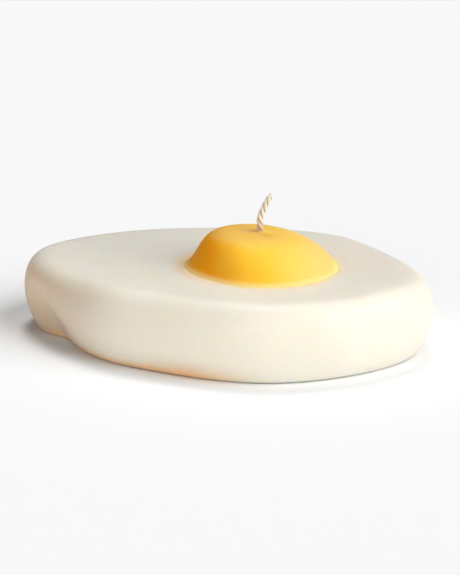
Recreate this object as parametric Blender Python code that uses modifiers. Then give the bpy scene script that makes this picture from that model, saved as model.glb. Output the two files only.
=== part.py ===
"""A candle cast in the shape of a fried egg: a thick wax white, a wax yolk and a twisted wick.

Units are metres. +Z is up and the candle stands on Z = 0, with the middle of its box at X = Y = 0.
+X runs along the length. -Y is the long plain front, and the fold between the lobes is at -X.
"""
import math

import bmesh
import bpy
from mathutils import Vector

MM = 0.001

# White: a poured slab with a rounded rim, tucked under at the foot
WHITE_HEIGHT = 22.5 * MM
WHITE_STATIONS = 28
# Plan of the widest level, as angle in degrees and radius in millimetres about a middle point
PLAN_MIDDLE = Vector((1.3, -0.3)) * MM
WHITE_PLAN = (
    (-3, 60.4),
    (-21, 64.0),
    (-38, 58.6),
    (-57, 53.0),
    (-78, 48.5),
    (-104, 43.0),
    (-125, 42.3),
    (-143, 45.4),
    (-162, 49.2),
    (-176, 56.5),
    (170, 62.6),
    (157, 64.0),
    (138, 57.6),
    (112, 50.3),
    (80, 47.0),
    (45, 53.0),
    (15, 53.2),
)
# Wall from the foot to the top, as share of the height, inset in millimetres, share of the fold
WHITE_WALL = (
    (0.00, 3.4, 0.5),
    (0.12, 1.8, 0.9),
    (0.45, 0.0, 0.8),
    (0.78, 0.9, 0.0),
    (0.97, 4.1, 0.0),
    (1.00, 9.0, 0.0),
)
WHITE_COLOUR = (0.90, 0.86, 0.79)
FOOT_RIM = 2.0 * MM
# Extra tuck of the foot under the two ends, and of the shoulder over the right end
TUCK_ANGLE = math.radians(-18)
TUCK_RIGHT = 3.0 * MM
TUCK_LEFT = 1.6 * MM
SHOULDER_ANGLE = math.radians(-14)
SHOULDER_RIGHT = 1.5 * MM
TUCK_FADE = 4
# Fold in the wall between the two lobes, which slants back as it rises and ends below the rim
FOLD_FOOT_ANGLE = math.radians(-171.5)
FOLD_TOP_ANGLE = math.radians(-184)
FOLD_WIDTH = math.radians(6)
FOLD_DEPTH = 7.5 * MM
FOLD_GATHER = 0.65

# Yolk: a low dome on the white, leaning a little, with a shallow dish round the wick
YOLK_CENTRE = Vector((10.1, -4.4)) * MM
YOLK_RADIUS = 22.1 * MM
YOLK_HEIGHT = 9.8 * MM
YOLK_STATIONS = 16
YOLK_TILT = 1.0 * MM
YOLK_COLOUR = (0.95, 0.60, 0.10)
# Dome from the rim to the dish, as share of the radius, share of the height, lean in millimetres
YOLK_DOME = (
    (1.00, 0.00, 0.0),
    (0.93, 0.26, -0.4),
    (0.83, 0.53, 0.2),
    (0.65, 0.87, 1.6),
    (0.42, 1.03, 2.4),
    (0.20, 1.00, 2.0),
)
# Flat in the yolk's rim, which fades towards its top
FLAT_ANGLE = math.radians(-137)
FLAT_WIDTH = math.radians(31)
FLAT_DEPTH = 2.3 * MM

# Wick: three cotton strands laid up together, set in the yolk
WICK_CENTRE = Vector((10.0, -3.6)) * MM
WICK_RADIUS = 1.0 * MM
WICK_STRANDS = 3
WICK_STRAND_SHARE = 0.55
WICK_STRAND_POINTS = 6
WICK_LAY = 6.3 * MM
WICK_STEPS_PER_LAY = 12
WICK_LINE_STEPS = 20
WICK_SETTING = 6.0 * MM
WICK_HOLE_SIDES = 16
WICK_COLOUR = (0.93, 0.87, 0.74)
# Line of the wick above the yolk, as sideways offset and height in millimetres
WICK_LINE = (
    (0.0, 0.0),
    (-0.2, 2.2),
    (0.0, 4.6),
    (1.1, 7.4),
    (2.5, 10.1),
    (3.0, 11.6),
)

GAP = 0.3 * MM


def clear_scene():
    for obj in list(bpy.data.objects):
        bpy.data.objects.remove(obj)


def make_material(name, colour, roughness):
    material = bpy.data.materials.new(name)
    material.use_nodes = True
    shader = material.node_tree.nodes["Principled BSDF"]
    shader.inputs["Base Color"].default_value = (*colour, 1)
    shader.inputs["Roughness"].default_value = roughness
    shader.inputs["Metallic"].default_value = 0
    return material


def add_object(name, data, material, collection):
    obj = bpy.data.objects.new(name, data)
    obj.data.materials.append(material)
    collection.objects.link(obj)
    return obj


def closed_curve_radius(knots, angle):
    """Radius at an angle, on a smooth closed curve through (angle, radius) knots."""
    ordered = sorted((math.radians(a) % math.tau, r) for a, r in knots)
    count = len(ordered)

    def knot(index):
        turns, place = divmod(index, count)
        return ordered[place][0] + turns * math.tau, ordered[place][1]

    def slope(index):
        (a0, r0), (a1, r1) = knot(index - 1), knot(index + 1)
        return (r1 - r0) / (a1 - a0)

    angle = (angle - ordered[0][0]) % math.tau + ordered[0][0]
    low = max(i for i in range(count) if knot(i)[0] <= angle + 1e-9)
    (a0, r0), (a1, r1) = knot(low), knot(low + 1)
    span = a1 - a0
    t = (angle - a0) / span
    ends = (1 + 2 * t) * (1 - t) ** 2 * r0 + t * t * (3 - 2 * t) * r1
    bends = t * (1 - t) ** 2 * slope(low) + t * t * (t - 1) * slope(low + 1)
    return ends + bends * span


def plan_point(angle):
    radius = closed_curve_radius(WHITE_PLAN, angle) * MM
    return PLAN_MIDDLE + Vector((radius * math.cos(angle), radius * math.sin(angle)))


def plan_inward(angle):
    step = math.radians(1)
    along = plan_point(angle + step) - plan_point(angle - step)
    return Vector((-along.y, along.x)).normalized()


def fold_depth(angle, height_share):
    """Depth of the fold at an angle: a smooth trough whose middle slants with height."""
    middle = FOLD_FOOT_ANGLE + (FOLD_TOP_ANGLE - FOLD_FOOT_ANGLE) * height_share
    away = (angle - middle + math.pi) % math.tau - math.pi
    return FOLD_DEPTH * math.exp(-((away / FOLD_WIDTH) ** 2))


def white_angles():
    """Angles of the cage's columns, gathered towards the fold."""
    middle = (FOLD_FOOT_ANGLE + FOLD_TOP_ANGLE) / 2
    for i in range(WHITE_STATIONS):
        turn = math.tau * i / WHITE_STATIONS
        yield middle + turn - FOLD_GATHER * math.sin(turn)


def foot_tuck(angle, height_share):
    """Extra inset at the ends, which fades towards the sides and the top."""
    towards = math.cos(angle - TUCK_ANGLE)
    depth = TUCK_RIGHT if towards > 0 else TUCK_LEFT
    return depth * (towards * (1 - height_share)) ** TUCK_FADE


def shoulder_tuck(angle, height_share):
    """Extra inset at the right end, which fades towards the sides and the foot."""
    towards = max(math.cos(angle - SHOULDER_ANGLE), 0)
    return SHOULDER_RIGHT * (towards * height_share) ** TUCK_FADE


def white_ring(height_share, inset, fold_share):
    ring = []
    for angle in white_angles():
        depth = inset + foot_tuck(angle, height_share) + shoulder_tuck(angle, height_share)
        depth += fold_share * fold_depth(angle, height_share)
        spot = plan_point(angle) + plan_inward(angle) * depth
        ring.append(Vector((spot.x, spot.y, height_share * WHITE_HEIGHT)))
    return ring


def circle_ring(centre, radius, height, angles):
    return [
        Vector((centre.x + radius * math.cos(a), centre.y + radius * math.sin(a), height))
        for a in angles
    ]


def make_cage(name, rings, sharp_rim=False):
    """Closed cage through rings of equal count, from the bottom up, with a flat cap at each end."""
    cage = bmesh.new()
    rows = [[cage.verts.new(point) for point in ring] for ring in rings]
    count = len(rows[0])
    foot = cage.faces.new(reversed(rows[0]))
    cage.faces.new(rows[-1])
    for under, over in zip(rows, rows[1:]):
        for i in range(count):
            j = (i + 1) % count
            cage.faces.new((under[i], under[j], over[j], over[i]))
    if sharp_rim:
        crease = cage.edges.layers.float.new("crease_edge")
        for edge in foot.edges:
            edge[crease] = 1
    mesh = bpy.data.meshes.new(name)
    cage.to_mesh(mesh)
    cage.free()
    mesh.shade_smooth()
    return mesh


def soften(obj, levels):
    subdivision = obj.modifiers.new("Soften", "SUBSURF")
    subdivision.levels = levels
    subdivision.render_levels = levels


def make_white(collection):
    foot_inset = WHITE_WALL[0][1] * MM
    foot_fold = WHITE_WALL[0][2]
    rings = [white_ring(0, foot_inset + FOOT_RIM, foot_fold)]
    for share, inset, fold_share in WHITE_WALL:
        rings.append(white_ring(share, inset * MM, fold_share))
    under_yolk = circle_ring(YOLK_CENTRE, YOLK_RADIUS, WHITE_HEIGHT, white_angles())
    rings.append(under_yolk)
    material = make_material("white_wax", WHITE_COLOUR, 0.45)
    white = add_object("egg_white", make_cage("egg_white", rings), material, collection)
    soften(white, 2)


def yolk_top():
    return WHITE_HEIGHT + GAP + YOLK_DOME[-1][1] * YOLK_HEIGHT


def make_wick_hole(collection):
    """Cutter for the hole that the wick stands in."""
    depth = WICK_SETTING + GAP
    bpy.ops.mesh.primitive_cylinder_add(
        vertices=WICK_HOLE_SIDES,
        radius=WICK_RADIUS + GAP,
        depth=2 * depth,
        location=(*WICK_CENTRE, yolk_top()),
    )
    cutter = bpy.context.object
    cutter.name = "wick_hole"
    for owner in list(cutter.users_collection):
        owner.objects.unlink(cutter)
    collection.objects.link(cutter)
    cutter.hide_render = True
    cutter.display_type = "WIRE"
    return cutter


def yolk_ring(share, rise, lean):
    """One level of the yolk: a circle with a flat, leaning aside and tilted."""
    ring = []
    for i in range(YOLK_STATIONS):
        angle = math.tau * i / YOLK_STATIONS
        away = (angle - FLAT_ANGLE + math.pi) % math.tau - math.pi
        flat = FLAT_DEPTH * share**2 * math.exp(-((away / FLAT_WIDTH) ** 2))
        radius = YOLK_RADIUS * share - flat
        x = YOLK_CENTRE.x - lean * MM + radius * math.cos(angle)
        y = YOLK_CENTRE.y + radius * math.sin(angle)
        height = rise * YOLK_HEIGHT - YOLK_TILT * rise * share * math.cos(angle)
        ring.append(Vector((x, y, WHITE_HEIGHT + GAP + height)))
    return ring


def make_yolk(collection, cutters):
    rings = [yolk_ring(share, rise, lean) for share, rise, lean in YOLK_DOME]
    material = make_material("yolk_wax", YOLK_COLOUR, 0.4)
    mesh = make_cage("yolk", rings, sharp_rim=True)
    yolk = add_object("yolk", mesh, material, collection)
    soften(yolk, 2)
    bore = yolk.modifiers.new("Wick hole", "BOOLEAN")
    bore.operation = "DIFFERENCE"
    bore.solver = "EXACT"
    bore.object = make_wick_hole(cutters)


def wick_section():
    """Outline of the strands side by side, as a closed flat curve."""
    strand = WICK_STRAND_SHARE * WICK_RADIUS
    offset = WICK_RADIUS - strand
    count = WICK_STRANDS * WICK_STRAND_POINTS
    sector = math.tau / WICK_STRANDS
    curve = bpy.data.curves.new("wick_section", "CURVE")
    spline = curve.splines.new("POLY")
    spline.points.add(count - 1)
    spline.use_cyclic_u = True
    for i, point in enumerate(spline.points):
        angle = -math.tau * i / count
        away = (angle + sector / 2) % sector - sector / 2
        across = offset * math.sin(away)
        radius = offset * math.cos(away) + math.sqrt(strand**2 - across**2)
        point.co = (radius * math.cos(angle), radius * math.sin(angle), 0, 1)
    return curve


def wick_points():
    """Even points on the wick's line, from the bottom of its hole to its tip."""
    knots = [Vector((0, -WICK_SETTING / MM)), Vector((0, -WICK_SETTING / MM / 2))]
    knots += [Vector(pair) for pair in WICK_LINE]
    fine = []
    for i in range(len(knots) - 1):
        before = knots[max(i - 1, 0)]
        start, end = knots[i], knots[i + 1]
        after = knots[min(i + 2, len(knots) - 1)]
        for step in range(WICK_LINE_STEPS):
            t = step / WICK_LINE_STEPS
            run_in = (end - before) / 2
            run_out = (after - start) / 2
            spot = start * (1 + 2 * t) * (1 - t) ** 2 + end * t * t * (3 - 2 * t)
            spot += run_in * t * (1 - t) ** 2 + run_out * t * t * (t - 1)
            fine.append(spot)
    fine.append(knots[-1])
    spacing = WICK_LAY / MM / WICK_STEPS_PER_LAY
    even = [fine[0]]
    travelled = 0.0
    for start, end in zip(fine, fine[1:]):
        travelled += (end - start).length
        if travelled >= spacing * len(even):
            even.append(end)
    return [
        Vector((WICK_CENTRE.x + p.x * MM, WICK_CENTRE.y, yolk_top() + p.y * MM))
        for p in even
    ]


def make_wick(collection, cutters):
    section = bpy.data.objects.new("wick_section", wick_section())
    cutters.objects.link(section)
    section.hide_render = True
    section.display_type = "WIRE"
    points = wick_points()
    curve = bpy.data.curves.new("wick", "CURVE")
    curve.dimensions = "3D"
    curve.twist_mode = "MINIMUM"
    curve.bevel_mode = "OBJECT"
    curve.bevel_object = section
    curve.use_fill_caps = True
    spline = curve.splines.new("POLY")
    spline.points.add(len(points) - 1)
    for i, (point, spot) in enumerate(zip(spline.points, points)):
        point.co = (*spot, 1)
        point.tilt = -math.tau * i / WICK_STEPS_PER_LAY
    material = make_material("cotton_wick", WICK_COLOUR, 0.9)
    add_object("wick", curve, material, collection)


def main():
    clear_scene()
    candle = bpy.data.collections.new("fried_egg_candle")
    cutters = bpy.data.collections.new("cutters")
    for collection in (candle, cutters):
        bpy.context.scene.collection.children.link(collection)
    make_white(candle)
    make_yolk(candle, cutters)
    make_wick(candle, cutters)


main()
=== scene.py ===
"""A wax candle cast in the shape of a fried egg: a thick cream white, a yellow yolk and a twisted wick.

Lengths are in metres. +Z is up, the candle stands on Z = 0, and -Y is its long plain front.
"""
import math

import bmesh
import bpy
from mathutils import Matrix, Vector, noise


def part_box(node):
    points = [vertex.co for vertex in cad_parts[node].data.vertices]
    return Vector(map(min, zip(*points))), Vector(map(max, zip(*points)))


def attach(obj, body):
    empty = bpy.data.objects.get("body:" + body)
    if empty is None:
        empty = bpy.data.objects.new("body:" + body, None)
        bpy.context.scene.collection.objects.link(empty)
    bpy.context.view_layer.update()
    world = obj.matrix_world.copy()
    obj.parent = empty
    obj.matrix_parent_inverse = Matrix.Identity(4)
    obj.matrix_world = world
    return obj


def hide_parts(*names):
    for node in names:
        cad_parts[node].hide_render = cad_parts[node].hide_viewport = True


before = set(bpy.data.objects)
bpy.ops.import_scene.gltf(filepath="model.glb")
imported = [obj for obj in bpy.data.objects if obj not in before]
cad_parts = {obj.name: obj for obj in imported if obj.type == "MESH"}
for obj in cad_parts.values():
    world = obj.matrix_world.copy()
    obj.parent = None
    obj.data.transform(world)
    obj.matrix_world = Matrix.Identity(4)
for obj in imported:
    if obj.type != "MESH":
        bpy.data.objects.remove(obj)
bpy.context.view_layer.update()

# The white
# A slab of cream wax, poured into a soft mould and turned out. The mould rounded its rim, tucked its
# foot under, and left a fold in the wall at the left end, which parts a front lobe from a back one.
MM = 0.001
WHITE_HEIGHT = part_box("egg_white")[1].z
WHITE_STATIONS = 28
# Plan of the widest level, as angle in degrees and radius in millimetres about a middle point
PLAN_MIDDLE = Vector((1.3, -0.3)) * MM
WHITE_PLAN = (
    (-3, 60.4),
    (-21, 64.0),
    (-38, 58.6),
    (-57, 53.0),
    (-78, 48.5),
    (-104, 43.0),
    (-125, 42.3),
    (-143, 45.4),
    (-162, 49.2),
    (-176, 56.5),
    (170, 62.6),
    (157, 64.0),
    (138, 57.6),
    (112, 50.3),
    (80, 47.0),
    (45, 53.0),
    (15, 53.2),
)
# Wall from the foot to the top, as share of the height, inset in millimetres, share of the fold
WHITE_WALL = (
    (0.00, 3.4, 0.5),
    (0.12, 1.8, 0.9),
    (0.45, 0.0, 0.8),
    (0.78, 0.9, 0.0),
    (0.97, 4.1, 0.0),
    (1.00, 9.0, 0.0),
)
FOOT_RIM = 2.0 * MM
TUCK_ANGLE = math.radians(-18)
TUCK_RIGHT = 3.0 * MM
TUCK_LEFT = 1.6 * MM
SHOULDER_ANGLE = math.radians(-14)
SHOULDER_RIGHT = 1.5 * MM
TUCK_FADE = 4
FOLD_FOOT_ANGLE = math.radians(-171.5)
FOLD_TOP_ANGLE = math.radians(-184)
FOLD_WIDTH = math.radians(6)
FOLD_DEPTH = 7.5 * MM
FOLD_GATHER = 0.65
SWELL_SIZE = 17 * MM
SWELL_DEPTH = 0.08 * MM
FINE_LEVELS = 4
YOLK_CENTRE = Vector((10.1, -4.4)) * MM
YOLK_RADIUS = 22.1 * MM
# Flat in the yolk's rim, which fades towards its top
FLAT_ANGLE = math.radians(-137)
FLAT_WIDTH = math.radians(31)
FLAT_DEPTH = 2.3 * MM


def closed_curve_radius(knots, angle):
    """Radius at an angle, on a smooth closed curve through (angle, radius) knots."""
    ordered = sorted((math.radians(a) % math.tau, r) for a, r in knots)
    count = len(ordered)

    def knot(index):
        turns, place = divmod(index, count)
        return ordered[place][0] + turns * math.tau, ordered[place][1]

    def slope(index):
        (a0, r0), (a1, r1) = knot(index - 1), knot(index + 1)
        return (r1 - r0) / (a1 - a0)

    angle = (angle - ordered[0][0]) % math.tau + ordered[0][0]
    low = max(i for i in range(count) if knot(i)[0] <= angle + 1e-9)
    (a0, r0), (a1, r1) = knot(low), knot(low + 1)
    span = a1 - a0
    t = (angle - a0) / span
    ends = (1 + 2 * t) * (1 - t) ** 2 * r0 + t * t * (3 - 2 * t) * r1
    bends = t * (1 - t) ** 2 * slope(low) + t * t * (t - 1) * slope(low + 1)
    return ends + bends * span


def plan_point(angle):
    radius = closed_curve_radius(WHITE_PLAN, angle) * MM
    return PLAN_MIDDLE + Vector((radius * math.cos(angle), radius * math.sin(angle)))


def plan_inward(angle):
    step = math.radians(1)
    along = plan_point(angle + step) - plan_point(angle - step)
    return Vector((-along.y, along.x)).normalized()


def fold_depth(angle, height_share):
    """Depth of the fold at an angle: a smooth trough whose middle slants with height."""
    middle = FOLD_FOOT_ANGLE + (FOLD_TOP_ANGLE - FOLD_FOOT_ANGLE) * height_share
    away = (angle - middle + math.pi) % math.tau - math.pi
    return FOLD_DEPTH * math.exp(-((away / FOLD_WIDTH) ** 2))


def white_angles():
    """Angles of the cage's columns, gathered towards the fold."""
    middle = (FOLD_FOOT_ANGLE + FOLD_TOP_ANGLE) / 2
    for i in range(WHITE_STATIONS):
        turn = math.tau * i / WHITE_STATIONS
        yield middle + turn - FOLD_GATHER * math.sin(turn)


def end_tuck(angle, height_share):
    """Extra inset of the foot at both ends and of the shoulder at the right end."""
    towards = math.cos(angle - TUCK_ANGLE)
    foot = TUCK_RIGHT if towards > 0 else TUCK_LEFT
    shoulder = max(math.cos(angle - SHOULDER_ANGLE), 0) * height_share
    return foot * (towards * (1 - height_share)) ** TUCK_FADE + SHOULDER_RIGHT * shoulder**TUCK_FADE


def white_ring(height_share, inset, fold_share):
    ring = []
    for angle in white_angles():
        depth = inset + end_tuck(angle, height_share)
        depth += fold_share * fold_depth(angle, height_share)
        spot = plan_point(angle) + plan_inward(angle) * depth
        ring.append(Vector((spot.x, spot.y, height_share * WHITE_HEIGHT)))
    return ring


def circle_ring(centre, radius, height, angles):
    return [
        Vector((centre.x + radius * math.cos(a), centre.y + radius * math.sin(a), height))
        for a in angles
    ]


def settle(piece):
    """Keeps the piece's evaluated shape as its own mesh, with no modifier left on it."""
    bpy.context.view_layer.update()
    graph = bpy.context.evaluated_depsgraph_get()
    shape = piece.evaluated_get(graph)
    made = bpy.data.meshes.new_from_object(shape, preserve_all_data_layers=True, depsgraph=graph)
    piece.modifiers.clear()
    piece.data = made
    made.name = piece.name


def cast_through(name, rings):
    """Closed smooth piece through rings of equal count, from the bottom up."""
    cage = bmesh.new()
    rows = [[cage.verts.new(point) for point in ring] for ring in rings]
    count = len(rows[0])
    cage.faces.new(reversed(rows[0]))
    cage.faces.new(rows[-1])
    for under, over in zip(rows, rows[1:]):
        for i in range(count):
            j = (i + 1) % count
            cage.faces.new((under[i], under[j], over[j], over[i]))
    mesh = bpy.data.meshes.new(name)
    cage.to_mesh(mesh)
    cage.free()
    piece = bpy.data.objects.new(name, mesh)
    bpy.context.scene.collection.objects.link(piece)
    smooth = piece.modifiers.new("Smooth", "SUBSURF")
    smooth.levels = FINE_LEVELS
    smooth.render_levels = FINE_LEVELS
    settle(piece)
    piece.data.shade_smooth()
    return piece


def ease(value, start, end):
    """0 before start, 1 after end, and a smooth step between."""
    t = min(max((value - start) / (end - start), 0), 1)
    return t * t * (3 - 2 * t)


rings = [white_ring(0, WHITE_WALL[0][1] * MM + FOOT_RIM, WHITE_WALL[0][2])]
for share, inset, fold_share in WHITE_WALL:
    rings.append(white_ring(share, inset * MM, fold_share))
rings.append(circle_ring(YOLK_CENTRE, YOLK_RADIUS, WHITE_HEIGHT, white_angles()))
white = cast_through("white_cast", rings)

# Slow waves in the cast surface, gone at the foot and under the yolk
outward = [vertex.normal.copy() for vertex in white.data.vertices]
swollen = []
for vertex, normal in zip(white.data.vertices, outward):
    spot = vertex.co
    clear = ease((spot.xy - YOLK_CENTRE).length, YOLK_RADIUS + 2 * MM, YOLK_RADIUS + 12 * MM)
    on_top = ease(spot.z, WHITE_HEIGHT - 3 * MM, WHITE_HEIGHT - MM)
    share = ease(spot.z, 0.5 * MM, 5 * MM) * (1 - on_top * (1 - clear))
    wave = noise.noise(spot / SWELL_SIZE)
    swollen.extend(spot + normal * (wave * SWELL_DEPTH * share))
white.data.vertices.foreach_set("co", swollen)
white.data.update()


class Flow:
    """A socket's value. Arithmetic on it adds Math nodes to its tree."""

    def __init__(self, nodes, socket):
        self.nodes = nodes
        self.socket = socket

    def other(self, name):
        return Flow(self.nodes, self.socket.node.outputs[name])

    def maths(self, operation, *values):
        return self.nodes.add("ShaderNodeMath", {"operation": operation}, dict(enumerate(values)))

    def __add__(self, value):
        return self.maths("ADD", self, value)

    def __sub__(self, value):
        return self.maths("SUBTRACT", self, value)

    def __rsub__(self, value):
        return self.maths("SUBTRACT", value, self)

    def __mul__(self, value):
        return self.maths("MULTIPLY", self, value)

    def __truediv__(self, value):
        return self.maths("DIVIDE", self, value)

    def __pow__(self, value):
        return self.maths("POWER", self, value)

    __radd__ = __add__
    __rmul__ = __mul__


class Nodes:
    """Adds nodes to one tree: a node's settings first, then its sockets' values or links."""

    def __init__(self, tree):
        self.tree = tree

    def add(self, kind, settings=None, values=None, output=0):
        node = self.tree.nodes.new(kind)
        for name, value in (settings or {}).items():
            setattr(node, name, value)
        self.feed(node, values or {})
        return Flow(self, node.outputs[output])

    def feed(self, node, values):
        for name, value in values.items():
            if isinstance(value, Flow):
                self.tree.links.new(value.socket, node.inputs[name])
            else:
                node.inputs[name].default_value = value


class Finish(Nodes):
    """The material of one piece, with its pattern on Object coordinates in metres."""

    def __init__(self, name):
        self.material = bpy.data.materials.new(name)
        self.material.use_nodes = True
        super().__init__(self.material.node_tree)
        self.shader = self.tree.nodes["Principled BSDF"]
        self.spot = self.add("ShaderNodeTexCoord", output="Object")
        self.x = self.add("ShaderNodeSeparateXYZ", values={0: self.spot})
        self.y = self.x.other("Y")
        self.z = self.x.other("Z")

    def fade(self, value, start, end):
        """0 at start, 1 at end, and a smooth step between."""
        spread = {"Value": value, "From Min": start, "From Max": end}
        return self.add("ShaderNodeMapRange", {"interpolation_type": "SMOOTHSTEP"}, spread)

    def mix(self, first, second, share):
        return self.add("ShaderNodeMix", {"data_type": "RGBA"}, {0: share, 6: first, 7: second}, 2)

    def cloud(self, size, detail=2.0):
        """Soft noise from 0 to 1 whose patches are about this size."""
        values = {"Vector": self.spot, "Scale": 1 / size, "Detail": detail}
        return self.add("ShaderNodeTexNoise", None, values)

    def distance_to(self, place):
        """Distance in plan to a point."""
        return ((self.x - place.x) ** 2 + (self.y - place.y) ** 2) ** 0.5

    def pinholes(self, spacing, radius, share):
        """1 in round pinholes of this radius, in a share of cells of this spacing."""
        cells = self.add("ShaderNodeTexVoronoi", None, {"Vector": self.spot, "Scale": 1 / spacing})
        lottery = self.add("ShaderNodeSeparateColor", None, {0: cells.other("Color")})
        chosen = lottery.maths("LESS_THAN", lottery, share)
        return self.fade(cells * spacing, radius, 0.5 * radius) * chosen

    def relief(self, height, depth, under=None):
        values = {"Height": height, "Distance": depth, "Strength": 1.0}
        if under:
            values["Normal"] = under
        return self.add("ShaderNodeBump", None, values)

    def dress(self, piece, values):
        """Sets the shader's sockets and gives the piece the material."""
        self.feed(self.shader, values)
        piece.data.materials.clear()
        piece.data.materials.append(self.material)


# Cream wax: satin and slightly translucent, with a random tone. The lighter wall at the left and the lip
# are painted light; the tan left end and foot, the darker back of the top and the ring round the yolk are
# painted shade; the amber along the foot is a painted glow.
CREAM_PALE = (0.762, 0.728, 0.635, 1)
CREAM = (0.738, 0.698, 0.602, 1)
CREAM_PAINTED_LIGHT = (0.815, 0.765, 0.655, 1)
CREAM_SHADE = (0.675, 0.640, 0.568, 1)
CREAM_BLUSH = (0.765, 0.680, 0.590, 1)
SHADED_TAN = (0.700, 0.545, 0.390, 1)
LOBE_TAN = (0.580, 0.425, 0.285, 1)
FOOT_TAN = (0.740, 0.565, 0.385, 1)
FOOT_AMBER = (0.940, 0.480, 0.180, 1)
YOLK_BLEED = (1.00, 0.73, 0.38, 1)
HALO_SHADE = (0.740, 0.640, 0.520, 1)
YOLK_SHADOW_TAN = (0.90, 0.63, 0.44, 1)
PINHOLE_SHADE = (0.52, 0.43, 0.31, 1)
# Where each tint lies. A span is the place where it starts and the place where it is full: a distance
# from the patch's middle, a height, or a place along X, which runs to the left.
MOTTLE_SIZE = 16 * MM
SPECK_SIZE = 2.2 * MM
GRAIN_SIZE = 0.5 * MM
BACK_SHADE_MIDDLE = Vector((-24, 22)) * MM
BACK_SHADE_SPAN = (36 * MM, 4 * MM)
BLUSH_MIDDLE = Vector((40, 2)) * MM
BLUSH_SPAN = (20 * MM, 2 * MM)
WALL_HEIGHTS = (21.5 * MM, 16 * MM)
WALL_LIGHT_SPAN = (28 * MM, -14 * MM)
TAN_HEIGHTS = (22.6 * MM, 18 * MM)
TAN_SPAN = (-28 * MM, -56 * MM)
LOBE_HEIGHTS = (13 * MM, 3 * MM)
FAR_LEFT_SPAN = (-40 * MM, -54 * MM)
SHADED_SPAN = (12 * MM, -14 * MM)
WAIST_SPAN = (-8 * MM, -30 * MM)
FOOT_HEIGHTS = (7 * MM, 1.5 * MM)
GLOW_HEIGHTS = (3.2 * MM, 0.6 * MM)
GLOW_SINK = 1.0 * MM
LIP_SIDE = math.radians(1)
LIP_WIDTH = math.radians(5)
LIP_HEIGHTS = (17 * MM, 9 * MM)
# The yellow bleed and the ring of painted shade and painted shadow about it, by distance from the yolk's
# rim
TOP_HEIGHTS = (20 * MM, 22 * MM)
HALO_SPAN = (5 * MM, 0.8 * MM)
HALO_TAN_SPAN = (2 * MM, -10 * MM)
BLEED_SPAN = (1.9 * MM, 0.7 * MM)
PINHOLE_SPACING = 9 * MM
PINHOLE_RADIUS = 0.32 * MM
PINHOLE_SHARE = 0.35
PINHOLE_DEPTH = 0.15 * MM
cream = Finish("cream_wax")
mottle = cream.cloud(MOTTLE_SIZE)
speck = cream.cloud(SPECK_SIZE, 3.0)
colour = cream.mix(CREAM, CREAM_PALE, cream.fade(mottle, 0.3, 0.7))
# Painted shade: darker towards the back left of the top
back_shade = cream.fade(cream.distance_to(BACK_SHADE_MIDDLE), *BACK_SHADE_SPAN)
colour = cream.mix(colour, CREAM_SHADE, back_shade)
blush = cream.fade(cream.distance_to(BLUSH_MIDDLE), *BLUSH_SPAN)
colour = cream.mix(colour, CREAM_BLUSH, blush * 0.8)
# Painted light: the wall lighter and a little warmer towards the left
wall = cream.fade(cream.z, *WALL_HEIGHTS)
colour = cream.mix(colour, CREAM_PAINTED_LIGHT, wall * cream.fade(cream.x, *WALL_LIGHT_SPAN))
# Painted shade: tan on the upper wall of the left end, which faces away from the key light
left_end_shade = cream.fade(cream.x, *TAN_SPAN)
colour = cream.mix(colour, SHADED_TAN, cream.fade(cream.z, *TAN_HEIGHTS) * left_end_shade)

# Painted shade: tan on the far left lobe and along the shaded foot, less at the waist between the lobe and
# the front; and a painted amber glow along the foot
shaded = cream.fade(cream.x, *SHADED_SPAN)
far_left = cream.fade(cream.x, *FAR_LEFT_SPAN)
colour = cream.mix(colour, LOBE_TAN, cream.fade(cream.z, *LOBE_HEIGHTS) * far_left * 0.7)
waist = cream.fade(cream.x, *WAIST_SPAN) - far_left
low = cream.fade(cream.z, *FOOT_HEIGHTS)
colour = cream.mix(colour, FOOT_TAN, low * (0.9 * shaded - 0.75 * waist - 0.8 * far_left))
glow = cream.fade(cream.z + GLOW_SINK * far_left, *GLOW_HEIGHTS)
colour = cream.mix(colour, FOOT_AMBER, glow * (0.75 * shaded - 0.1 * waist))

# Painted highlight: a pale lip along the front lobe's edge at the fold
turn = cream.x.maths("ARCTAN2", PLAN_MIDDLE.y - cream.y, PLAN_MIDDLE.x - cream.x)
slant = (FOLD_TOP_ANGLE - FOLD_FOOT_ANGLE) / WHITE_HEIGHT
beside = turn - cream.z * slant - (FOLD_FOOT_ANGLE + math.pi + LIP_SIDE)
lip = cream.fade(beside.maths("ABSOLUTE", beside), LIP_WIDTH, 0)
colour = cream.mix(colour, CREAM_PAINTED_LIGHT, lip * cream.fade(cream.z, *LIP_HEIGHTS) * 0.5)

# Yellow that has bled from the yolk's rim and follows the flat in it, in a ring of painted shade round the
# yolk, with a painted tan shadow of the yolk stronger at the left
from_middle = cream.distance_to(YOLK_CENTRE)
along_flat = (cream.x - YOLK_CENTRE.x) * math.cos(FLAT_ANGLE)
across_flat = (cream.y - YOLK_CENTRE.y) * math.sin(FLAT_ANGLE)
bend = ((along_flat + across_flat) / from_middle - 1) * (2 / FLAT_WIDTH**2)
from_rim = from_middle + FLAT_DEPTH * bend.maths("EXPONENT", bend) - YOLK_RADIUS
on_top = cream.fade(cream.z, *TOP_HEIGHTS)
halo = cream.fade(from_rim, *HALO_SPAN) * on_top
colour = cream.mix(colour, HALO_SHADE, halo * 0.6)
colour = cream.mix(colour, YOLK_SHADOW_TAN, halo * cream.fade(cream.x, *HALO_TAN_SPAN) * 0.8)
bleed = cream.fade(from_rim, *BLEED_SPAN) * on_top
colour = cream.mix(colour, YOLK_BLEED, bleed * 0.85)
holes = cream.pinholes(PINHOLE_SPACING, PINHOLE_RADIUS, PINHOLE_SHARE)
colour = cream.mix(colour, PINHOLE_SHADE, holes * 0.6)
grain = cream.relief(cream.cloud(GRAIN_SIZE), 0.006 * MM)
dimples = cream.relief(speck, 0.012 * MM, grain)
pits = cream.relief(1 - holes, PINHOLE_DEPTH, dimples)
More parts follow.
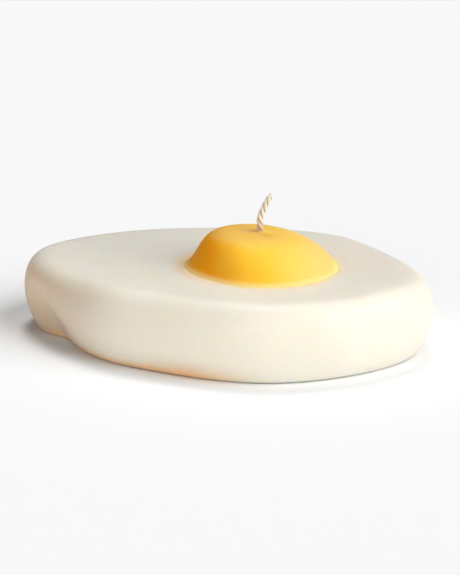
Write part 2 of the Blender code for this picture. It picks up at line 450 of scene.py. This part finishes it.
cream.dress(
    white,
    {
        "Base Color": colour,
        "Roughness": 0.42 + 0.08 * speck,
        "Normal": pits,
        "Subsurface Weight": 1.0,
        "Subsurface Radius": (1.0, 0.55, 0.25),
        "Subsurface Scale": 3.5 * MM,
        "IOR": 1.44,
        "Specular IOR Level": 0.4,
    },
)
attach(white, "root")
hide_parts("egg_white")

# The yolk
# A low dome of yellow wax, cast on the white and fused to it all round. It leans a little to the
# left, and wax that shrank as it set left a shallow dish round the wick.
YOLK_RISE = 9.8 * MM
YOLK_TILT = 1.0 * MM
YOLK_STATIONS = 16
YOLK_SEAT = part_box("yolk")[0].z
# Foot of the dome, set in the white and flared out over it, as share of the radius, share of the
# height, lean in millimetres
YOLK_FOOT = (
    (0.90, -0.92, 0.0),
    (1.00, -0.30, 0.0),
    (1.07, -0.06, 0.0),
    (1.035, -0.024, 0.0),
    (0.99, 0.04, 0.0),
)
# Dome from the foot to the dish, in the same terms
YOLK_DOME = (
    (0.93, 0.26, -0.4),
    (0.83, 0.53, 0.2),
    (0.65, 0.87, 1.6),
    (0.42, 1.03, 2.4),
    (0.22, 1.00, 2.0),
)
WICK_CENTRE = Vector((10.0, -3.6)) * MM
# Wax drawn up round the wick, as radius and height in millimetres over the dish
WICK_COLLAR = ((2.9, -0.05), (1.9, 0.0), (1.25, 0.30), (0.8, 0.45), (0.4, 0.2))
yolk_angles = [math.tau * i / YOLK_STATIONS for i in range(YOLK_STATIONS)]


def yolk_ring(share, rise, lean):
    """One level of the yolk: a circle with a flat, leaning aside and tilted."""
    ring = []
    for angle in yolk_angles:
        away = (angle - FLAT_ANGLE + math.pi) % math.tau - math.pi
        flat = FLAT_DEPTH * share**2 * math.exp(-((away / FLAT_WIDTH) ** 2))
        radius = YOLK_RADIUS * share - flat
        x = YOLK_CENTRE.x - lean * MM + radius * math.cos(angle)
        y = YOLK_CENTRE.y + radius * math.sin(angle)
        height = rise * YOLK_RISE - YOLK_TILT * max(rise, 0) * share * math.cos(angle)
        ring.append(Vector((x, y, YOLK_SEAT + height)))
    return ring


rings = [yolk_ring(*level) for level in YOLK_FOOT + YOLK_DOME]
dish_height = YOLK_SEAT + YOLK_RISE
for radius, height in WICK_COLLAR:
    rings.append(circle_ring(WICK_CENTRE, radius * MM, dish_height + height * MM, yolk_angles))
yolk = cast_through("yolk_cast", rings)

# Yellow wax. Painted shade makes it deeper towards its left flank and darker and greyer on top; painted
# light makes it paler at the right and at the foot; a painted shadow of the wick tans the dish at its left
YOLK_YELLOW = (0.90, 0.53, 0.038, 1)
YOLK_PAINTED_LIGHT = (0.90, 0.54, 0.155, 1)
YOLK_PAINTED_SHADE = (0.85, 0.330, 0.004, 1)
YOLK_TOP_SHADE = (0.74, 0.46, 0.14, 1)
YOLK_FOOT_LIGHT = (0.98, 0.66, 0.27, 1)
WICK_SHADOW = (0.80, 0.44, 0.20, 1)
# Spans as in the white, here as share of the yolk's radius to the right, height over its seat, and
# distance from the middle of the wick's painted shadow
PALE_SPAN = (0.1, 1.0)
DEEP_SPAN = (0.0, -0.62)
TOP_SHADE_HEIGHTS = (8.2 * MM, 10 * MM)
RIM_HEIGHTS = (1.3 * MM, -0.3 * MM)
WICK_SHADOW_SIDE = Vector((2.6, 0)) * MM
WICK_SHADOW_SPAN = (5 * MM, 1.8 * MM)
WICK_SHADOW_RAGGED = 1.5 * MM
yellow = Finish("yellow_wax")
mottle = yellow.cloud(7 * MM)
speck = yellow.cloud(1.6 * MM, 3.0)
across = (yellow.x - YOLK_CENTRE.x) / YOLK_RADIUS + 0.3 * mottle
over_seat = yellow.z - YOLK_SEAT
# Painted light paler at the right, painted shade deeper at the left flank
colour = yellow.mix(YOLK_YELLOW, YOLK_PAINTED_LIGHT, yellow.fade(across, *PALE_SPAN))
colour = yellow.mix(colour, YOLK_PAINTED_SHADE, yellow.fade(across, *DEEP_SPAN))
# Painted shade, greyed by a painted reflection, on the top of the dome
colour = yellow.mix(colour, YOLK_TOP_SHADE, yellow.fade(over_seat, *TOP_SHADE_HEIGHTS) * 0.5)
# Painted light: paler at the foot, making up for light lost where the dome sits in the white
colour = yellow.mix(colour, YOLK_FOOT_LIGHT, yellow.fade(over_seat, *RIM_HEIGHTS) * 0.85)
# Painted shadow of the wick: a ragged tan patch on the dish at its left
wick_shadow_distance = yellow.distance_to(WICK_CENTRE - WICK_SHADOW_SIDE)
wick_shadow_mask = yellow.fade(wick_shadow_distance + WICK_SHADOW_RAGGED * speck, *WICK_SHADOW_SPAN)
colour = yellow.mix(colour, WICK_SHADOW, wick_shadow_mask * 0.6)
grain = yellow.relief(yellow.cloud(0.45 * MM), 0.006 * MM)
dimples = yellow.relief(speck, 0.02 * MM, grain)
yellow.dress(
    yolk,
    {
        "Base Color": colour,
        "Roughness": 0.42 + 0.12 * speck,
        "Normal": dimples,
        "Subsurface Weight": 1.0,
        "Subsurface Radius": (1.0, 0.42, 0.10),
        "Subsurface Scale": 1.0 * MM,
        "IOR": 1.44,
        "Specular IOR Level": 0.18,
    },
)
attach(yolk, "root")
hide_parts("yolk")

# The wick
# Three strands of cotton laid up together with the twist of an S, each of fine yarns turned the other
# way. It was set in the soft yolk, waxed, and cut off by hand, so that its tip is a little frayed.
WICK_RADIUS = 1.0 * MM
WICK_SETTING = 6.0 * MM
WICK_STRANDS = 3
STRAND_RADIUS = 0.52 * WICK_RADIUS
STRAND_LAY = 6.3 * MM
STRAND_YARNS = 8
YARN_RADIUS = 0.16 * MM
YARN_LAY = 3.4 * MM
YARN_STEP = 0.2 * MM
FRAY_LENGTH = 1.3 * MM
# Where the strands start to draw in, as share of the wick's length, and how close they end up
TAPER_START = 0.84
TAPER_END = 0.45
FUZZ_LENGTH = 0.55 * MM
FUZZ_RADIUS = 0.014 * MM
FUZZ_PER_SQUARE_METRE = 9e5
FUZZ_SEED = 7
# Line of the wick above the yolk, as sideways offset and height in millimetres
WICK_LINE = (
    (0.0, 0.0),
    (-0.2, 2.2),
    (0.0, 4.6),
    (1.1, 7.4),
    (2.5, 10.1),
    (3.0, 11.6),
)
WICK_LINE_STEPS = 20


def wick_points():
    """Points on the wick's line, from the bottom of its setting to its tip."""
    knots = [Vector((0, -WICK_SETTING / MM)), Vector((0, -WICK_SETTING / MM / 2))]
    knots += [Vector(pair) for pair in WICK_LINE]
    line = []
    for i in range(len(knots) - 1):
        before = knots[max(i - 1, 0)]
        start, end = knots[i], knots[i + 1]
        after = knots[min(i + 2, len(knots) - 1)]
        for step in range(WICK_LINE_STEPS):
            t = step / WICK_LINE_STEPS
            spot = start * (1 + 2 * t) * (1 - t) ** 2 + end * t * t * (3 - 2 * t)
            spot += (end - before) / 2 * t * (1 - t) ** 2
            spot += (after - start) / 2 * t * t * (t - 1)
            line.append(spot)
    line.append(knots[-1])
    return [Vector((WICK_CENTRE.x + p.x * MM, WICK_CENTRE.y, dish_height + p.y * MM)) for p in line]


class Maker(Nodes):
    """A Geometry Nodes tree with named inputs."""

    def __init__(self, name, inputs):
        super().__init__(bpy.data.node_groups.new(name, "GeometryNodeTree"))
        face = self.tree.interface
        face.new_socket("Geometry", in_out="OUTPUT", socket_type="NodeSocketGeometry")
        face.new_socket("Geometry", in_out="INPUT", socket_type="NodeSocketGeometry")
        for label, kind in inputs.items():
            face.new_socket(label, in_out="INPUT", socket_type=kind)
        self.entry = self.add("NodeGroupInput")

    def asked(self, label):
        return self.entry.other(label)

    def asked_all(self, *labels):
        return [self.asked(label) for label in labels]

    def point_attribute(self, geometry, name, kind, value):
        settings = {"data_type": kind, "domain": "POINT"}
        values = {"Geometry": geometry, "Name": name, "Value": value}
        return self.add("GeometryNodeStoreNamedAttribute", settings, values)

    def lay_up(self, line, count, offset, turn_length):
        """Copies of a line, laid round it as a helix that draws in at the tip."""
        copies = self.add(
            "GeometryNodeDuplicateElements", {"domain": "SPLINE"}, {"Geometry": line, "Amount": count}
        )
        along = self.add("GeometryNodeSplineParameter", output="Length")
        taper = self.add(
            "ShaderNodeMapRange",
            {"interpolation_type": "SMOOTHSTEP"},
            {"Value": along.other("Factor"), "From Min": TAPER_START, "To Min": 1.0, "To Max": TAPER_END},
        )
        angle = math.tau * (copies.other("Duplicate Index") / count + along / turn_length)
        outward = self.add(
            "ShaderNodeVectorRotate",
            {"rotation_type": "AXIS_ANGLE"},
            {
                "Vector": self.add("GeometryNodeInputNormal"),
                "Axis": self.add("GeometryNodeInputTangent"),
                "Angle": angle,
            },
        )
        aside = taper * offset
        move = self.add("ShaderNodeVectorMath", {"operation": "SCALE"}, {0: outward, "Scale": aside})
        return self.add("GeometryNodeSetPosition", None, {"Geometry": copies, "Offset": move})

    def finish(self, geometry, piece, values):
        """Ends the tree, and runs it on the piece with these values."""
        whole = self.add("GeometryNodeRealizeInstances", None, {"Geometry": geometry})
        coated = self.add(
            "GeometryNodeSetMaterial", None, {"Geometry": whole, "Material": self.asked("Material")}
        )
        self.feed(self.tree.nodes.new("NodeGroupOutput"), {"Geometry": coated})
        modifier = piece.modifiers.new(self.tree.name, "NODES")
        modifier.node_group = self.tree
        for item in self.tree.interface.items_tree:
            if item.in_out == "INPUT" and item.name in values:
                modifier[item.identifier] = values[item.name]
        settle(piece)


line_mesh = bpy.data.meshes.new("wick")
line = wick_points()
line_mesh.from_pydata(line, [(i, i + 1) for i in range(len(line) - 1)], [])
wick = bpy.data.objects.new("wick_cotton", line_mesh)
bpy.context.scene.collection.objects.link(wick)

# Waxed cotton: off-white on the outside of the strands, brown painted shade in the grooves, tan where it
# soaked up wax at the root, and paler at the cut tip
cotton = Finish("waxed_cotton")
COTTON_PALE = (0.80, 0.72, 0.60, 1)
COTTON_TIP = (0.93, 0.90, 0.80, 1)
COTTON_GROOVE_SHADE = (0.24, 0.14, 0.055, 1)
COTTON_ROOT = (0.56, 0.31, 0.13, 1)
# Spans as in the white, by share of the wick's radius from its middle, and by height over the dish
GROOVE_SPAN = (0.66, 1.0)
ROOT_HEIGHTS = (4.5 * MM, 0)
TIP_HEIGHTS = (8.8 * MM, 11.2 * MM)
reach = cotton.add("ShaderNodeAttribute", {"attribute_name": "reach"}, output="Fac")
fibre = cotton.cloud(0.35 * MM, 3.0)
over_dish = cotton.z - dish_height
# Painted shade: brown in the grooves between the strands and yarns
colour = cotton.mix(COTTON_GROOVE_SHADE, COTTON_PALE, cotton.fade(reach + 0.25 * fibre, *GROOVE_SPAN))
colour = cotton.mix(colour, COTTON_ROOT, cotton.fade(over_dish, *ROOT_HEIGHTS) * 0.7)
colour = cotton.mix(colour, COTTON_TIP, cotton.fade(over_dish, *TIP_HEIGHTS) * 0.9)

maker = Maker(
    "lay_up_wick",
    {
        "Strands": "NodeSocketInt",
        "Strand Offset": "NodeSocketFloat",
        "Strand Lay": "NodeSocketFloat",
        "Yarns": "NodeSocketInt",
        "Yarn Offset": "NodeSocketFloat",
        "Yarn Lay": "NodeSocketFloat",
        "Yarn Radius": "NodeSocketFloat",
        "Step": "NodeSocketFloat",
        "Fray": "NodeSocketFloat",
        "Fuzz Density": "NodeSocketFloat",
        "Fuzz Length": "NodeSocketFloat",
        "Fuzz Radius": "NodeSocketFloat",
        "Seed": "NodeSocketInt",
        "Material": "NodeSocketMaterial",
    },
)
core = maker.add("GeometryNodeMeshToCurve", None, {"Mesh": maker.entry})
core = maker.add(
    "GeometryNodeResampleCurve", {"mode": "LENGTH"}, {"Curve": core, "Length": maker.asked("Step")}
)
place = maker.add("GeometryNodeInputPosition")
core = maker.point_attribute(core, "core", "FLOAT_VECTOR", place)
strands = maker.lay_up(core, *maker.asked_all("Strands", "Strand Offset", "Strand Lay"))
yarns = maker.lay_up(strands, *maker.asked_all("Yarns", "Yarn Offset", "Yarn Lay"))
length = maker.add("GeometryNodeSplineLength")
cut = maker.add(
    "FunctionNodeRandomValue",
    {"data_type": "FLOAT"},
    {"Min": 0.0, "Max": maker.asked("Fray"), "Seed": maker.asked("Seed")},
    "Value",
)
yarns = maker.add(
    "GeometryNodeTrimCurve", {"mode": "LENGTH"}, {"Curve": yarns, "Start": 0.0, "End": length - cut}
)
section = maker.add(
    "GeometryNodeCurvePrimitiveCircle", None, {"Resolution": 7, "Radius": maker.asked("Yarn Radius")}
)
solid = maker.add(
    "GeometryNodeCurveToMesh", None, {"Curve": yarns, "Profile Curve": section, "Fill Caps": True}
)
core_place = maker.add(
    "GeometryNodeInputNamedAttribute", {"data_type": "FLOAT_VECTOR"}, {"Name": "core"}, "Attribute"
)
away = maker.add("ShaderNodeVectorMath", {"operation": "DISTANCE"}, {0: place, 1: core_place}, "Value")
fuzz_points = maker.add(
    "GeometryNodeDistributePointsOnFaces",
    None,
    {"Mesh": solid, "Density": maker.asked("Fuzz Density"), "Seed": maker.asked("Seed")},
)
hair = maker.add(
    "GeometryNodeMeshCone",
    None,
    {
        "Vertices": 4,
        "Side Segments": 3,
        "Radius Top": 0.0,
        "Radius Bottom": maker.asked("Fuzz Radius"),
        "Depth": maker.asked("Fuzz Length"),
    },
)
lean = maker.add(
    "FunctionNodeRandomValue",
    {"data_type": "FLOAT_VECTOR"},
    {"Min": (-1.1, -1.1, 0.0), "Max": (1.1, 1.1, 0.0), "Seed": maker.asked("Seed")},
    "Value",
)
lean = maker.add("FunctionNodeEulerToRotation", None, {0: lean})
aim = maker.add(
    "FunctionNodeRotateRotation",
    {"rotation_space": "LOCAL"},
    {"Rotation": fuzz_points.other("Rotation"), "Rotate By": lean},
)
fuzz = maker.add(
    "GeometryNodeInstanceOnPoints", None, {"Points": fuzz_points, "Instance": hair, "Rotation": aim}
)
fuzz = maker.add("GeometryNodeRealizeInstances", None, {"Geometry": fuzz})
joined = maker.add("GeometryNodeJoinGeometry")
for part in (fuzz, solid):
    maker.tree.links.new(part.socket, joined.socket.node.inputs[0])
joined = maker.point_attribute(joined, "reach", "FLOAT", away / WICK_RADIUS)
maker.finish(
    joined,
    wick,
    {
        "Strands": WICK_STRANDS,
        "Strand Offset": WICK_RADIUS - STRAND_RADIUS,
        "Strand Lay": -STRAND_LAY,
        "Yarns": STRAND_YARNS,
        "Yarn Offset": STRAND_RADIUS - YARN_RADIUS,
        "Yarn Lay": YARN_LAY,
        "Yarn Radius": YARN_RADIUS,
        "Step": YARN_STEP,
        "Fray": FRAY_LENGTH,
        "Fuzz Density": FUZZ_PER_SQUARE_METRE,
        "Fuzz Length": FUZZ_LENGTH,
        "Fuzz Radius": FUZZ_RADIUS,
        "Seed": FUZZ_SEED,
        "Material": cotton.material,
    },
)
wick.data.shade_smooth()
cotton.dress(
    wick,
    {
        "Base Color": colour,
        "Roughness": 0.75 + 0.15 * fibre,
        "Normal": cotton.relief(fibre, 0.03 * MM),
        "Subsurface Weight": 0.2,
        "Subsurface Radius": (1.0, 0.7, 0.45),
        "Subsurface Scale": 0.4 * MM,
        "Specular IOR Level": 0.25,
    },
)
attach(wick, "root")
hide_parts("wick")

# The table
# A plain pale surface that reaches past the view on all sides.
FLOOR_REACH = 6.0
FLOOR_WHITE = (0.865, 0.867, 0.87, 1)
floor_mesh = bpy.data.meshes.new("floor")
corners = [(x * FLOOR_REACH, y * FLOOR_REACH, 0) for x, y in ((-1, -1), (1, -1), (1, 1), (-1, 1))]
floor_mesh.from_pydata(corners, [], [(0, 1, 2, 3)])
floor = bpy.data.objects.new("floor", floor_mesh)
bpy.context.scene.collection.objects.link(floor)
paper = Finish("white_paper")
paper.dress(floor, {"Base Color": FLOOR_WHITE, "Roughness": 0.95, "Specular IOR Level": 0.0})

# The light
# Three soft sources: a large key from the right and a little in front, which throws the shadow to the
# left, a large low fill from the front for the long wall, and a smaller, weaker one high up behind.
ROOM_LIGHT = 0.03
ROOM_WHITE = 0.955


def add_sun(name, bearing, height, strength, spread):
    """A distant source at a bearing from +X towards +Y and a height over the table. Angles in degrees."""
    turn, rise = math.radians(bearing), math.radians(height)
    source = Vector((math.cos(turn) * math.cos(rise), math.sin(turn) * math.cos(rise), math.sin(rise)))
    data = bpy.data.lights.new(name, "SUN")
    data.energy = strength
    data.angle = math.radians(spread)
    lamp = bpy.data.objects.new(name, data)
    lamp.rotation_euler = source.to_track_quat("Z", "Y").to_euler()
    bpy.context.scene.collection.objects.link(lamp)


add_sun("key", -27, 36, 3.13, 56)
add_sun("fill", -104, 10, 1.70, 55)
add_sun("high", 90, 68, 1.215, 20)
world = bpy.data.worlds.new("room")
bpy.context.scene.world = world
world.use_nodes = True
room = Nodes(world.node_tree)
seen = room.add("ShaderNodeLightPath", output="Is Camera Ray")
room.feed(world.node_tree.nodes["Background"], {"Strength": ROOM_LIGHT + seen * (ROOM_WHITE - ROOM_LIGHT)})
world.node_tree.nodes["Background"].inputs["Color"].default_value = (1, 1, 1, 1)
bpy.context.scene.view_settings.view_transform = "Standard"

# The camera
# It looks along +Y at the plain front, from 16.5 degrees above the table.
CAMERA_ELEVATION = math.radians(16.5)
CAMERA_DISTANCE = 0.650
CAMERA_TARGET = Vector((1.2, 1.2, 14.5)) * MM
CAMERA_LENS = 140
back = Vector((0, -math.cos(CAMERA_ELEVATION), math.sin(CAMERA_ELEVATION)))
camera_data = bpy.data.cameras.new("camera")
camera_data.lens = CAMERA_LENS
camera = bpy.data.objects.new("camera", camera_data)
camera.location = CAMERA_TARGET + back * CAMERA_DISTANCE
camera.rotation_euler = back.to_track_quat("Z", "Y").to_euler()
bpy.context.scene.collection.objects.link(camera)
bpy.context.scene.camera = camera
